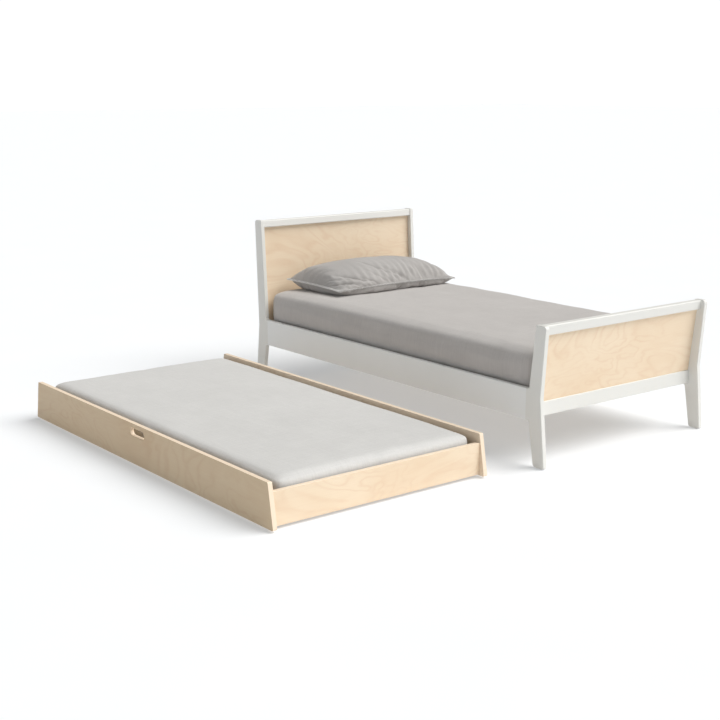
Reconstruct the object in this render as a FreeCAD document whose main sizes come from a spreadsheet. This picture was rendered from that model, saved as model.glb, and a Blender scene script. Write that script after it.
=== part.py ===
"""Twin bed with a low trundle that rolls out from under it, standing beside it.

Frame: millimetres, +Z up, the floor at Z = 0.  +X runs from the head to the foot, and the trundle
rolls out towards -Y.  The origin is on the floor, at the middle of the whole set.
"""
import FreeCAD, Part
import math
import os
import re
import Sketcher

V = FreeCAD.Vector
DOC = FreeCAD.newDocument("trundle_bed")
SHEET = DOC.addObject("Spreadsheet::Sheet", "Dimensions")
PARTS = []

DIMENSIONS = (
    # name, millimetres, what it is
    ("bed_width", 1050, "over the side rails, and over the trundle's side panels"),
    ("parking_gap", 250, "between the bed and the trundle when it is rolled right out"),
    ("frame_board", 22, "thickness of the painted boards"),
    ("soft_edge", 3, "rounding of the painted edges"),
    # end frames: u is the distance from the middle of the bed towards that end
    ("kink_span", 2083, "between the outer bends of the posts"),
    ("kink_height", 300, "where the posts bend"),
    ("kink_round", 40, "easing of the outer bend"),
    ("splay", 30.5, "how far the legs reach out below the bend"),
    ("foot_lean", 21.7, "how far the footboard posts lean out at the top"),
    ("head_lean", 24.1, "how far the headboard posts lean out at the top"),
    ("foot_height", 605, "top of the footboard posts"),
    ("head_height", 858, "top of the headboard posts"),
    ("inner_span", 1952, "between the posts at the side rails"),
    ("leg_depth", 62, "of a leg at the floor"),
    ("post_depth", 57, "of a post at its top"),
    ("shoulder", 16, "stub of the post that meets the side rail"),
    ("shoulder_round", 10, "inner corners between post and rail"),
    ("heel_round", 14, "bed-side corner of the leg at the floor"),
    ("toe_round", 7, "outer corner of the leg at the floor"),
    ("crown_round", 15, "outer top corner of a post"),
    ("brow_round", 5, "inner top corner of a post"),
    ("glide_height", 2.5, "plastic pad under each leg"),
    ("glide_length", 32, "of a pad"),
    ("glide_width", 14, "of a pad"),
    ("rail_low", 197, "underside of the side rails"),
    ("rail_high", 332, "top of the side rails"),
    # headboard and footboard
    ("top_rail_drop", 2, "top rail below the post tops"),
    ("top_rail_depth", 35, "of both top rails"),
    ("top_rail_round", 5, "edges of the top rails"),
    ("foot_top_rail_height", 43, "of the footboard's top rail"),
    ("head_top_rail_height", 37, "of the headboard's top rail"),
    ("foot_top_rail_set", 1, "behind the posts' bed side"),
    ("head_top_rail_set", 4, "behind the posts' bed side"),
    ("lower_rail_low", 208, "underside of the lower cross rails"),
    ("lower_rail_high", 270, "top of the lower cross rails"),
    ("foot_lower_rail_depth", 21, "of the footboard's lower rail"),
    ("head_lower_rail_depth", 36, "of the headboard's lower rail"),
    ("panel_board", 12, "thickness of the birch ply panels"),
    ("foot_panel_low_set", 3, "panel behind the posts' bed side, at its bottom"),
    ("foot_panel_high_set", 9, "panel behind the posts' bed side, at its top"),
    ("head_panel_set", 25, "panel behind the posts' bed side"),
    # mattress support
    ("ledger_low", 237, "underside of the slat ledgers"),
    ("ledger_tall", 30, "of a slat ledger"),
    ("ledger_depth", 25, "of a slat ledger"),
    ("ledger_length", 1830, "of a slat ledger"),
    ("slat_thick", 18, "of a slat"),
    ("slat_wide", 90, "of a slat"),
    ("slat_long", 1000, "of a slat"),
    ("slat_pitch", 158, "from slat to slat"),
    ("beam_wide", 40, "of the middle beam"),
    ("beam_low", 205, "underside of the middle beam"),
    ("hanger_thick", 2.5, "steel of the beam hangers"),
    ("hanger_lip", 30, "of a beam hanger under the beam"),
    ("hanger_tall", 40, "of a beam hanger's side flanges"),
    ("hanger_tab", 18, "of a beam hanger's back plate beside the beam"),
    ("bracket_leg", 52, "length of each leg of the corner brackets"),
    ("bracket_low", 211, "underside of the corner brackets"),
    ("bracket_tall", 54, "of the corner brackets"),
    ("bracket_thick", 3, "steel of the corner brackets"),
    # bed mattress and pillow
    ("mattress_wide", 990, "of the bed mattress"),
    ("mattress_head", 996, "from the middle of the bed to its head end"),
    ("mattress_foot", 975, "from the middle of the bed to its foot end"),
    ("mattress_top", 484, "above the floor"),
    ("mattress_corner", 50, "upright corners"),
    ("mattress_edge", 36, "top and bottom edges"),
    ("rest_gap", 0.5, "between a soft piece and what it lies on"),
    ("pillow_wide", 790, "across the bed"),
    ("pillow_deep", 410, "along the bed"),
    ("pillow_thick", 155, "at its crown"),
    ("pillow_centre", 757, "from the middle of the bed towards the head"),
    ("pillow_offset", 30, "from the middle of the bed towards its right"),
    ("pillow_corner", 60, "upright corners"),
    ("pillow_edge", 60, "top and bottom edges"),
    # trundle box
    ("leg_clearance", 8, "between the trundle's side panels and the bed's legs"),
    ("trundle_low", 8, "underside of the side panels"),
    ("trundle_high", 184, "top of the side panels"),
    ("trundle_board", 20, "thickness of the trundle's panels"),
    ("trundle_corner", 6, "corners of the side panels"),
    ("trundle_edge", 1.2, "edges of the trundle's panels"),
    ("end_span", 1946, "over the trundle's end panels"),
    ("end_low", 13, "underside of the end panels"),
    ("end_high", 146, "top of the end panels"),
    ("handle_long", 120, "of the hand slot"),
    ("handle_tall", 32, "of the hand slot"),
    ("handle_height", 147, "middle of the hand slot"),
    ("handle_round", 4, "easing of the hand slot's rim"),
    ("deck_low", 66, "underside of the deck boards"),
    ("deck_thick", 12, "of the deck boards"),
    ("trundle_ledger_tall", 25, "of the deck ledgers"),
    ("trundle_ledger_deep", 25, "of the deck ledgers"),
    ("bearer_thick", 17, "of the caster bearers under the deck"),
    ("bearer_wide", 90, "of the caster bearers"),
    ("trundle_mattress_wide", 978, "of the trundle mattress"),
    ("trundle_mattress_shift", 5, "from the middle of the trundle towards its back panel"),
    ("trundle_mattress_long", 1898, "of the trundle mattress"),
    ("trundle_mattress_top", 180, "above the floor"),
    ("trundle_mattress_corner", 45, "upright corners"),
    ("trundle_mattress_edge", 26, "top and bottom edges"),
    # casters
    ("wheel_radius", 22, "of a caster wheel"),
    ("wheel_wide", 16, "of a caster wheel"),
    ("wheel_crown", 2, "chamfer of the tread"),
    ("wheel_rim", 5, "depth of the rim outside the web"),
    ("hub_radius", 9, "of the wheel's hub"),
    ("hub_proud", 1, "of the hub beyond the tread on each side"),
    ("axle_radius", 3, "of the caster axles"),
    ("axle_long", 30, "of the caster axles"),
    ("bore_radius", 3.05, "of the wheels' bores"),
    ("fork_gap", 20, "between a fork's ears"),
    ("fork_thick", 2.5, "steel of the forks"),
    ("fork_plate_long", 64, "of a fork's plate, along its roll"),
    ("fork_plate_wide", 60, "of a fork's plate, across its roll"),
    ("fork_ear", 12, "half width of an ear at the axle"),
    ("caster_x", 700, "from the middle of the trundle"),
    ("caster_y", 400, "from the middle of the trundle"),
    # fasteners
    ("lath_edge", 1.5, "edges of slats, ledgers, bearers and the middle beam"),
    ("deck_gap", 1, "round each deck board"),
    ("dowel_radius", 4, "of the beech dowels"),
    ("dowel_long", 30, "of the beech dowels"),
    ("dowel_grip", 10, "of a dowel inside the post or panel it locates"),
    ("screw_radius", 2, "of a screw's shank"),
    ("screw_head_radius", 4.2, "of a screw's head"),
    ("screw_head_tall", 2.2, "of a screw's head"),
    ("cross_dowel_low", 16, "lower dowels of the cross rails, above the rail's underside"),
    ("cross_dowel_high", 46, "upper dowels of the cross rails, above the rail's underside"),
    ("side_dowel_low", 30, "lower dowels of the side rails, above the rail's underside"),
    ("side_dowel_high", 105, "upper dowels of the side rails, above the rail's underside"),
    ("trundle_dowel_low", 35, "lower dowels of the trundle box, above the end panels' underside"),
    ("trundle_dowel_high", 100, "upper dowels of the trundle box, above the end panels' underside"),
    ("bracket_screw", 16, "length of the screws in the steel brackets"),
    ("bracket_hole_set", 16, "holes of the corner brackets, in from their ends"),
    ("bracket_hole_low", 14, "lower holes, above the brackets' underside"),
    ("bracket_hole_high", 40, "upper holes, above the brackets' underside"),
    ("hanger_hole_set", 8, "holes of the beam hangers, in from their ends"),
    ("ledger_screw", 40, "length of the screws through the slat ledgers"),
    ("ledger_hole_rise", 12, "holes of the slat ledgers, above their underside"),
    ("slat_screw", 28, "length of the screws through the slats"),
    ("deck_screw", 26, "length of the screws through the deck"),
    ("deck_hole_first", 80, "from the middle of the trundle"),
    ("deck_hole_last", 880, "from the middle of the trundle"),
    ("bearer_hole_out", 36, "beyond the casters, along the trundle"),
    ("bearer_hole_side", 180, "from the middle of the trundle, across it"),
    ("trundle_ledger_screw", 36, "length of the screws through the deck ledgers"),
    ("trundle_hole_drop", 15, "holes of the deck ledgers, below the deck"),
    ("caster_screw", 14, "length of the screws through the casters' plates"),
    ("caster_hole_set", 8, "holes of the casters' plates, in from their edges"),
)

# Formulas that several parts share, in the words of the sheet.
BED_Y = "((bed_width + parking_gap) / 2)"
TRUNDLE_Y = "(-(bed_width + parking_gap) / 2)"
FRAME_INSIDE = "(bed_width / 2 - frame_board)"
FRAME_MIDDLE = "(bed_width / 2 - frame_board / 2)"
JOINT_U = "(inner_span / 2 - shoulder)"
SLAT_LOW = "(ledger_low + ledger_tall)"
MATTRESS_LOW = "(ledger_low + ledger_tall + slat_thick + rest_gap)"
PANEL_INSIDE = "(bed_width / 2 - trundle_board)"
FORK_TOP = "(deck_low - bearer_thick)"

ENDS = {"head": -1, "foot": 1}
SIDES = {"left": -1, "right": 1}
TRUNDLE_SIDES = {"front": -1, "back": 1}
SLATS = 12
TURN = {
    "+x": FreeCAD.Rotation(V(0, 1, 0), 90),
    "-x": FreeCAD.Rotation(V(0, 1, 0), -90),
    "+y": FreeCAD.Rotation(V(1, 0, 0), -90),
    "-y": FreeCAD.Rotation(V(1, 0, 0), 90),
    "+z": FreeCAD.Rotation(),
    "-z": FreeCAD.Rotation(V(1, 0, 0), 180),
}


def fill_sheet():
    for row, (name, value, note) in enumerate(DIMENSIONS, start=1):
        SHEET.set(f"A{row}", name)
        SHEET.set(f"B{row}", str(value))
        SHEET.set(f"C{row}", note)
        SHEET.setAlias(f"B{row}", name)
    DOC.recompute()


def dim(name):
    return float(SHEET.get(name))


def formula(text):
    """A document expression from a formula in the words of the sheet."""
    return re.sub(r"[a-z][a-z_]+", lambda word: "Dimensions." + word.group(0), text)


def along(low, high, height):
    """Where the straight line from low to high, both (u, z), is at a height."""
    return f"({low[0]} + ({high[0]} - {low[0]}) * ({height} - {low[1]}) / ({high[1]} - {low[1]}))"


def bind(item, prop, text):
    item.setExpression(prop, formula(text))


def place(item, x="0", y="0", z="0"):
    for axis, text in zip("xyz", (x, y, z)):
        bind(item, f"Placement.Base.{axis}", text)


def new_body(label):
    body = DOC.addObject("PartDesign::Body", label)
    body.Label = label
    return body


def keep(item):
    """Count an object as a finished piece of the set."""
    PARTS.append(item)
    return item


def new_sketch(body, role):
    plane = next(item for item in body.Origin.OriginFeatures if item.Role == role)
    sketch = body.newObject("Sketcher::SketchObject", body.Name + "_sketch")
    sketch.AttachmentSupport = [(plane, "")]
    sketch.MapMode = "FlatFace"
    return sketch


def pin_down(sketch, curve, end, x, y):
    """Hold a point of a sketch at formulas measured from the sketch's origin."""
    drawn = sketch.getPoint(curve, end)
    for kind, text, start in (("DistanceX", x, drawn.x), ("DistanceY", y, drawn.y)):
        number = sketch.addConstraint(Sketcher.Constraint(kind, -1, 1, curve, end, start))
        bind(sketch, f"Constraints[{number}]", text)


def outline(body, role, points):
    """A closed sketch of straight lines through points given as pairs of formulas."""
    sketch = new_sketch(body, role)
    count = len(points)
    ring = [V(math.cos(math.tau * i / count), math.sin(math.tau * i / count), 0) * 100
            for i in range(count)]
    for i in range(count):
        sketch.addGeometry(Part.LineSegment(ring[i], ring[(i + 1) % count]))
    for i in range(count):
        sketch.addConstraint(Sketcher.Constraint("Coincident", i, 2, (i + 1) % count, 1))
    for i, (x, y) in enumerate(points):
        pin_down(sketch, i, 1, x, y)
    return sketch


def rectangle(x_low, x_high, y_low, y_high):
    return [(x_low, y_low), (x_high, y_low), (x_high, y_high), (x_low, y_high)]


def pad(body, sketch, depth, symmetric=True, reverse=False):
    feature = body.newObject("PartDesign::Pad", body.Name + "_pad")
    feature.Profile = sketch
    feature.SideType = "Symmetric" if symmetric else "One side"
    feature.Reversed = reverse
    bind(feature, "Length", depth)
    return feature


def round_edges(body, radius, wanted=None):
    """Round the edges of the body so far for which wanted(edge) is true."""
    DOC.recompute()
    base = body.Tip
    names = [f"Edge{number}" for number, edge in enumerate(base.Shape.Edges, start=1)
             if wanted is None or wanted(edge)]
    feature = body.newObject("PartDesign::Fillet", body.Name + "_fillet")
    feature.Base = (base, names)
    bind(feature, "Radius", radius)
    DOC.recompute()
    return feature


def runs_along(edge, axis, slack=0.01):
    """True for a straight edge that runs along one axis."""
    if len(edge.Vertexes) != 2 or not isinstance(edge.Curve, Part.Line):
        return False
    direction = edge.Vertexes[1].Point - edge.Vertexes[0].Point
    return all(abs(direction[i]) < slack for i in range(3) if i != "xyz".index(axis))


def block(label, size, middle, low, edge=None, rounded="xyz"):
    """A board: its size along X, Y and Z, the middle of its plan, and the height of its underside."""
    body = new_body(label)
    along_x, along_y, along_z = size
    corners = rectangle(f"-({along_x}) / 2", f"({along_x}) / 2", f"-({along_y}) / 2", f"({along_y}) / 2")
    pad(body, outline(body, "XY_Plane", corners), along_z, symmetric=False)
    if edge:
        round_edges(body, edge, lambda item: any(runs_along(item, axis) for axis in rounded))
    place(body, middle[0], middle[1], low)
    return body


def profile(label, points, width, middle_y, edge=None):
    """A piece with one outline in the X-Z plane all the way across its width."""
    body = new_body(label)
    pad(body, outline(body, "XZ_Plane", points), width)
    if edge:
        round_edges(body, edge, lambda item: runs_along(item, "y"))
    place(body, y=middle_y)
    return body


def pin(name, radius, length, spot, turn):
    item = DOC.addObject("Part::Cylinder", name)
    item.Placement = FreeCAD.Placement(V(), TURN[turn])
    bind(item, "Radius", radius)
    bind(item, "Height", length)
    place(item, *spot)
    return item


def dowels(label, spots):
    """Separate plain pins; each spot is (x, y, z, the way it points)."""
    group = DOC.addObject("Part::Compound", label)
    group.Links = [pin(label + "_pin", "dowel_radius", "dowel_long", spot[:3], spot[3]) for spot in spots]
    group.Label = label
    return keep(group)


def screws(label, length, spots):
    """Separate pan-head screws; each spot is (x, y, z under the head, the way it points)."""
    pieces = []
    back = {"+x": "-x", "-x": "+x", "+y": "-y", "-y": "+y", "+z": "-z", "-z": "+z"}
    for spot in spots:
        pieces.append(pin(label + "_shank", "screw_radius", length, spot[:3], spot[3]))
        pieces.append(pin(label + "_head", "screw_head_radius", "screw_head_tall", spot[:3], back[spot[3]]))
    group = DOC.addObject("Part::MultiFuse", label)
    group.Shapes = pieces
    group.Label = label
    return keep(group)


def drilled(body, *groups):
    """The piece with holes where its fasteners go through it."""
    label = body.Label
    body.Label = label + "_blank"
    for group in groups:
        cut = DOC.addObject("Part::Cut", f"{label}_drilled")
        cut.Base = body
        cut.Tool = group
        body = cut
    body.Label = label
    return keep(body)


# ---------------------------------------------------------------- bed frame

def bed_side(side):
    """Y of the middle of the bed's boards on one side."""
    return f"({BED_Y} + {SIDES[side]} * {FRAME_MIDDLE})"


def post_lines(end):
    """The key points (u, z) of an end frame's posts: bed side and outside, from the floor up."""
    lean = f"{end}_lean"
    top = f"{end}_height"
    return {
        "toe": ("(kink_span / 2 + splay)", "glide_height"),
        "heel": ("(kink_span / 2 + splay - leg_depth)", "glide_height"),
        "rail_bottom": ("(inner_span / 2)", "rail_low"),
        "rail_top": ("(inner_span / 2)", "rail_high"),
        "brow": (f"(kink_span / 2 + {lean} - post_depth)", top),
        "crown": (f"(kink_span / 2 + {lean})", top),
        "kink": ("(kink_span / 2)", "kink_height"),
    }


def turned(end, points):
    """Points (u, z) as X and Z formulas at the head or the foot."""
    return [(f"{ENDS[end]} * ({u})", z) for u, z in points]


def post(end, side):
    key = post_lines(end)
    points = [key["heel"], key["rail_bottom"], (JOINT_U, "rail_low"), (JOINT_U, "rail_high"),
              key["rail_top"], key["brow"], key["crown"], key["kink"], key["toe"]]
    body = new_body(f"{end}_post_{side}")
    pad(body, outline(body, "XZ_Plane", turned(end, points)), "frame_board")
    top = dim(f"{end}_height")
    outer_top = dim("kink_span") / 2 + dim(f"{end}_lean")
    inner = dim("inner_span") / 2
    joint = inner - dim("shoulder")

    def across(edge, height, reach):
        spot = edge.CenterOfMass
        return runs_along(edge, "y") and abs(spot.z - height) < 1 and abs(abs(spot.x) - reach) < 1

    round_edges(body, "crown_round", lambda edge: across(edge, top, outer_top))
    round_edges(body, "brow_round", lambda edge: across(edge, top, outer_top - dim("post_depth")))
    round_edges(body, "kink_round", lambda edge: across(edge, dim("kink_height"), dim("kink_span") / 2))
    round_edges(body, "shoulder_round", lambda edge: across(edge, dim("rail_low"), inner)
                or across(edge, dim("rail_high"), inner))
    toe = dim("kink_span") / 2 + dim("splay")
    round_edges(body, "toe_round", lambda edge: across(edge, dim("glide_height"), toe))
    round_edges(body, "heel_round", lambda edge: across(edge, dim("glide_height"), toe - dim("leg_depth")))

    def on_face_rim(edge):
        ends = [vertex.Point for vertex in edge.Vertexes]
        flat = all(abs(abs(spot.y) - dim("frame_board") / 2) < 0.01 for spot in ends)
        return flat and not all(abs(abs(spot.x) - joint) < 0.01 for spot in ends)

    round_edges(body, "soft_edge", on_face_rim)
    place(body, y=bed_side(side))
    return body


def side_rail(side):
    return block(f"side_rail_{side}", (f"2 * {JOINT_U}", "frame_board", "rail_high - rail_low"),
                 ("0", bed_side(side)), "rail_low", "soft_edge", rounded="x")


def top_rail(end):
    key = post_lines(end)
    high = f"({end}_height - top_rail_drop)"
    low = f"({high} - {end}_top_rail_height)"
    inside = [f"({along(key['rail_top'], key['brow'], z)} + {end}_top_rail_set)" for z in (low, high)]
    points = [(inside[0], low), (f"({inside[0]} + top_rail_depth)", low),
              (f"({inside[1]} + top_rail_depth)", high), (inside[1], high)]
    return profile(f"{end}_top_rail", turned(end, points), f"2 * {FRAME_INSIDE}", BED_Y, "top_rail_round")


def lower_rail(end):
    outer = f"(inner_span / 2 + {end}_lower_rail_depth)"
    points = rectangle("(inner_span / 2)", outer, "lower_rail_low", "lower_rail_high")
    return profile(f"{end}_lower_rail", turned(end, points), f"2 * {FRAME_INSIDE}", BED_Y, "soft_edge")


def end_panel(end):
    """Ply panel from the lower rail to the top rail, leaning with the posts."""
    key = post_lines(end)
    high = f"({end}_height - top_rail_drop - {end}_top_rail_height)"
    low = "lower_rail_high"
    if end == "head":
        bottom = f"({along(key['rail_top'], key['brow'], low)} + head_panel_set)"
        top = f"({along(key['rail_top'], key['brow'], high)} + head_panel_set)"
    else:
        bottom = "(inner_span / 2 + foot_panel_low_set)"
        top = f"({along(key['rail_top'], key['brow'], high)} + foot_panel_high_set)"
    points = [(bottom, low), (f"({bottom} + panel_board)", low),
              (f"({top} + panel_board)", high), (top, high)]
    return profile(f"{end}_panel", turned(end, points), f"2 * {FRAME_INSIDE}", BED_Y)


def frame_dowels():
    """Two dowels in each joint: cross rails into posts, and side rails into the posts' stubs."""
    spots = []
    for end, way in ENDS.items():
        key = post_lines(end)
        rail_middle = f"({end}_height - top_rail_drop - {end}_top_rail_height / 2)"
        bed_face = along(key["rail_top"], key["brow"], rail_middle)
        rows = [(f"({bed_face} + {end}_top_rail_set + top_rail_depth * {share})", rail_middle)
                for share in (0.3, 0.7)]
        rows += [(f"(inner_span / 2 + {end}_lower_rail_depth / 2)", f"(lower_rail_low + {rise})")
                 for rise in ("cross_dowel_low", "cross_dowel_high")]
        for side in SIDES.values():
            y = f"{BED_Y} + {side} * ({FRAME_INSIDE} + dowel_grip)"
            turn = "-y" if side > 0 else "+y"
            spots += [(f"{way} * ({u})", y, z, turn) for u, z in rows]
            middle = f"{BED_Y} + {side} * {FRAME_MIDDLE}"
            x = f"{way} * ({JOINT_U} - dowel_long / 2)"
            spots += [(x, middle, f"rail_low + {rise}", "+x" if way > 0 else "-x")
                      for rise in ("side_dowel_low", "side_dowel_high")]
    return dowels("frame_dowels", spots)


def glides():
    """A plastic pad under each of the four legs."""
    pads = []
    for way in ENDS.values():
        for side in SIDES:
            pads.append(block("glide_pad", ("glide_length", "glide_width", "glide_height"),
                              (f"{way} * (kink_span / 2 + splay - leg_depth / 2)", bed_side(side)), "0"))
    group = DOC.addObject("Part::Compound", "foot_glides")
    group.Links = pads
    group.Label = "foot_glides"
    return keep(group)


# ---------------------------------------------------------------- mattress support

def ledger(side):
    middle = f"({BED_Y} + {SIDES[side]} * ({FRAME_INSIDE} - ledger_depth / 2))"
    return block(f"slat_ledger_{side}", ("ledger_length", "ledger_depth", "ledger_tall"),
                 ("0", middle), "ledger_low", "lath_edge", rounded="x")


def slat_x(number):
    return f"(slat_pitch * {number - (SLATS + 1) / 2})"


def slat(number):
    return block(f"slat_{number:02d}", ("slat_wide", "slat_long", "slat_thick"),
                 (slat_x(number), BED_Y), SLAT_LOW, "lath_edge", rounded="y")


def middle_beam():
    return block("middle_beam", ("inner_span - 2 * hanger_thick", "beam_wide", f"{SLAT_LOW} - beam_low"),
                 ("0", BED_Y), "beam_low", "lath_edge", rounded="x")


def beam_hanger(end):
    """Steel shoe on the lower rail: a back plate, a floor and two side flanges round the beam."""
    way = ENDS[end]
    floor = "(beam_low - hanger_thick)"
    outer = "(beam_wide / 2 + hanger_thick)"
    inner = "(beam_wide / 2)"
    plate_half = "(beam_wide / 2 + hanger_tab)"
    rim = "(beam_low + hanger_tall)"
    body = new_body(f"hanger_{end}")
    plate = rectangle(f"-{plate_half}", plate_half, floor, "lower_rail_high")
    pad(body, outline(body, "YZ_Plane", plate), "hanger_thick", symmetric=False, reverse=way > 0)
    shoe = [(f"-{outer}", floor), (outer, floor), (outer, rim), (inner, rim), (inner, "beam_low"),
            (f"-{inner}", "beam_low"), (f"-{inner}", rim), (f"-{outer}", rim)]
    pad(body, outline(body, "YZ_Plane", shoe), "hanger_thick + hanger_lip", symmetric=False, reverse=way > 0)
    place(body, f"{way} * inner_span / 2", BED_Y)
    return body


def beam_hangers():
    group = DOC.addObject("Part::Compound", "beam_hangers")
    group.Links = [beam_hanger(end) for end in ENDS]
    group.Label = "beam_hangers"
    return group


def corner_brackets():
    """Four steel angles that pull each side rail to a lower cross rail."""
    angles = []
    for end, way in ENDS.items():
        for side, hand in SIDES.items():
            body = new_body(f"bracket_{end}_{side}")
            far = "(inner_span / 2 - bracket_leg)"
            deep = f"({FRAME_INSIDE} - bracket_leg)"
            points = [("(inner_span / 2)", FRAME_INSIDE), (far, FRAME_INSIDE),
                      (far, f"({FRAME_INSIDE} - bracket_thick)"),
                      ("(inner_span / 2 - bracket_thick)", f"({FRAME_INSIDE} - bracket_thick)"),
                      ("(inner_span / 2 - bracket_thick)", deep), ("(inner_span / 2)", deep)]
            mirrored = [(f"{way} * ({x})", f"{hand} * ({y})") for x, y in points]
            pad(body, outline(body, "XY_Plane", mirrored), "bracket_tall", symmetric=False)
            place(body, y=BED_Y, z="bracket_low")
            angles.append(body)
    group = DOC.addObject("Part::Compound", "corner_brackets")
    group.Links = angles
    group.Label = "corner_brackets"
    return group


def steel_screws():
    """Through the corner brackets and the beam hangers into the wood behind them."""
    spots = []
    for way in ENDS.values():
        face = f"{way} * (inner_span / 2 - bracket_thick)"
        outward = "+x" if way > 0 else "-x"
        for hand in SIDES.values():
            for rise in ("bracket_hole_low", "bracket_hole_high"):
                z = f"bracket_low + {rise}"
                spots.append((f"{way} * (inner_span / 2 - bracket_leg + bracket_hole_set)",
                              f"{BED_Y} + {hand} * ({FRAME_INSIDE} - bracket_thick)", z,
                              "+y" if hand > 0 else "-y"))
                spots.append((face, f"{BED_Y} + {hand} * ({FRAME_INSIDE} - bracket_leg + bracket_hole_set)",
                              z, outward))
                spots.append((f"{way} * (inner_span / 2 - hanger_thick)",
                              f"{BED_Y} + {hand} * (beam_wide / 2 + hanger_tab - hanger_hole_set)",
                              z, outward))
    return screws("bracket_screws", "bracket_screw", spots)


def row_shares():
    """Where six screws go along a ledger, as shares of its length from its middle."""
    return [0.94 * (step / 5 - 0.5) for step in range(6)]


def ledger_screws():
    """Along each ledger, through it into the side rail."""
    spots = []
    for hand in SIDES.values():
        for share in row_shares():
            spots.append((f"ledger_length * {share}",
                          f"{BED_Y} + {hand} * ({FRAME_INSIDE} - ledger_depth)",
                          "ledger_low + ledger_hole_rise", "+y" if hand > 0 else "-y"))
    return screws("ledger_screws", "ledger_screw", spots)


def slat_screws():
    """One at each end of every slat, down into the ledger, its head let into the slat."""
    spots = []
    for number in range(1, SLATS + 1):
        for hand in SIDES.values():
            spots.append((slat_x(number), f"{BED_Y} + {hand} * ({FRAME_INSIDE} - ledger_depth / 2)",
                          f"{SLAT_LOW} + slat_thick - screw_head_tall", "-z"))
    return screws("slat_screws", "slat_screw", spots)


# ---------------------------------------------------------------- soft pieces

def cushion(label, size, middle, low, corner, edge):
    """A plain closed solid for a soft piece: rounded upright corners, then rounded rims."""
    body = block(label, size, middle, low)
    round_edges(body, corner, lambda item: runs_along(item, "z"))
    round_edges(body, edge, lambda item: not runs_along(item, "z"))
    return keep(body)


def bed_mattress():
    return cushion("bed_mattress",
                   ("mattress_head + mattress_foot", "mattress_wide", f"mattress_top - {MATTRESS_LOW}"),
                   ("(mattress_foot - mattress_head) / 2", BED_Y), MATTRESS_LOW,
                   "mattress_corner", "mattress_edge")


def pillow():
    return cushion("pillow", ("pillow_deep", "pillow_wide", "pillow_thick"),
                   ("-pillow_centre", f"{BED_Y} + pillow_offset"), "mattress_top + rest_gap",
                   "pillow_corner", "pillow_edge")


# ---------------------------------------------------------------- trundle

def trundle_side_y(side):
    return f"({TRUNDLE_Y} + {TRUNDLE_SIDES[side]} * (bed_width / 2 - trundle_board / 2))"


def trundle_side(side):
    """A side panel whose slanting ends run parallel to the bed's legs."""
    key = post_lines("foot")
    reach = [f"({along(key['heel'], key['rail_bottom'], z)} - leg_clearance)"
             for z in ("trundle_low", "trundle_high")]
    body = new_body(f"trundle_{side}_panel")
    points = [(f"-{reach[0]}", "trundle_low"), (reach[0], "trundle_low"),
              (reach[1], "trundle_high"), (f"-{reach[1]}", "trundle_high")]
    pad(body, outline(body, "XZ_Plane", points), "trundle_board")
    round_edges(body, "trundle_corner", lambda edge: runs_along(edge, "y"))
    round_edges(body, "trundle_edge", lambda edge: not runs_along(edge, "y")
                and all(abs(abs(spot.Point.y) - dim("trundle_board") / 2) < 0.01 for spot in edge.Vertexes))
    if side == "front":
        cut_handle(body)
    place(body, y=trundle_side_y(side))
    return body


def cut_handle(body):
    """The hand slot: a long hole with round ends, right through, with an eased rim."""
    sketch = new_sketch(body, "XZ_Plane")
    half = (dim("handle_long") - dim("handle_tall")) / 2
    radius = dim("handle_tall") / 2
    height = dim("handle_height")
    left = Part.Circle(V(-half, height, 0), V(0, 0, 1), radius)
    right = Part.Circle(V(half, height, 0), V(0, 0, 1), radius)
    sketch.addGeometry(Part.ArcOfCircle(left, math.pi / 2, 3 * math.pi / 2))
    sketch.addGeometry(Part.LineSegment(V(-half, height - radius, 0), V(half, height - radius, 0)))
    sketch.addGeometry(Part.ArcOfCircle(right, -math.pi / 2, math.pi / 2))
    sketch.addGeometry(Part.LineSegment(V(half, height + radius, 0), V(-half, height + radius, 0)))
    for curve, following in ((0, 1), (1, 2), (2, 3), (3, 0)):
        sketch.addConstraint(Sketcher.Constraint("Tangent", curve, 2, following, 1))
    pin_down(sketch, 0, 3, "-(handle_long - handle_tall) / 2", "handle_height")
    pin_down(sketch, 2, 3, "(handle_long - handle_tall) / 2", "handle_height")
    number = sketch.addConstraint(Sketcher.Constraint("Radius", 0, radius))
    bind(sketch, f"Constraints[{number}]", "handle_tall / 2")
    before = body.Tip.Shape.Volume
    slot = body.newObject("PartDesign::Pocket", body.Name + "_slot")
    slot.Profile = sketch
    slot.SideType = "Symmetric"
    bind(slot, "Length", "2 * trundle_board")
    DOC.recompute()
    if slot.Shape.Volume >= before:
        raise RuntimeError("the hand slot cut nothing")

    def on_rim(edge):
        spot = edge.CenterOfMass
        on_face = all(abs(abs(vertex.Point.y) - dim("trundle_board") / 2) < 0.01 for vertex in edge.Vertexes)
        return (on_face and abs(spot.x) <= dim("handle_long") / 2
                and abs(spot.z - height) <= radius + 0.1)

    round_edges(body, "handle_round", on_rim)


def trundle_end(end):
    middle = f"{ENDS[end]} * (end_span - trundle_board) / 2"
    return block(f"trundle_{end}_panel", ("trundle_board", f"2 * {PANEL_INSIDE}", "end_high - end_low"),
                 (middle, TRUNDLE_Y), "end_low", "trundle_edge", rounded="y")


def trundle_ledger(side):
    middle = f"({TRUNDLE_Y} + {TRUNDLE_SIDES[side]} * ({PANEL_INSIDE} - trundle_ledger_deep / 2))"
    return block(f"trundle_ledger_{side}",
                 ("end_span - 2 * trundle_board", "trundle_ledger_deep", "trundle_ledger_tall"),
                 ("0", middle), "deck_low - trundle_ledger_tall", "lath_edge", rounded="x")


def deck_board(end):
    long = "(end_span / 2 - trundle_board)"
    return block(f"trundle_deck_{end}",
                 (f"{long} - deck_gap", f"2 * ({PANEL_INSIDE} - deck_gap)", "deck_thick"),
                 (f"{ENDS[end]} * ({long} + deck_gap) / 2", TRUNDLE_Y), "deck_low")


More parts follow.
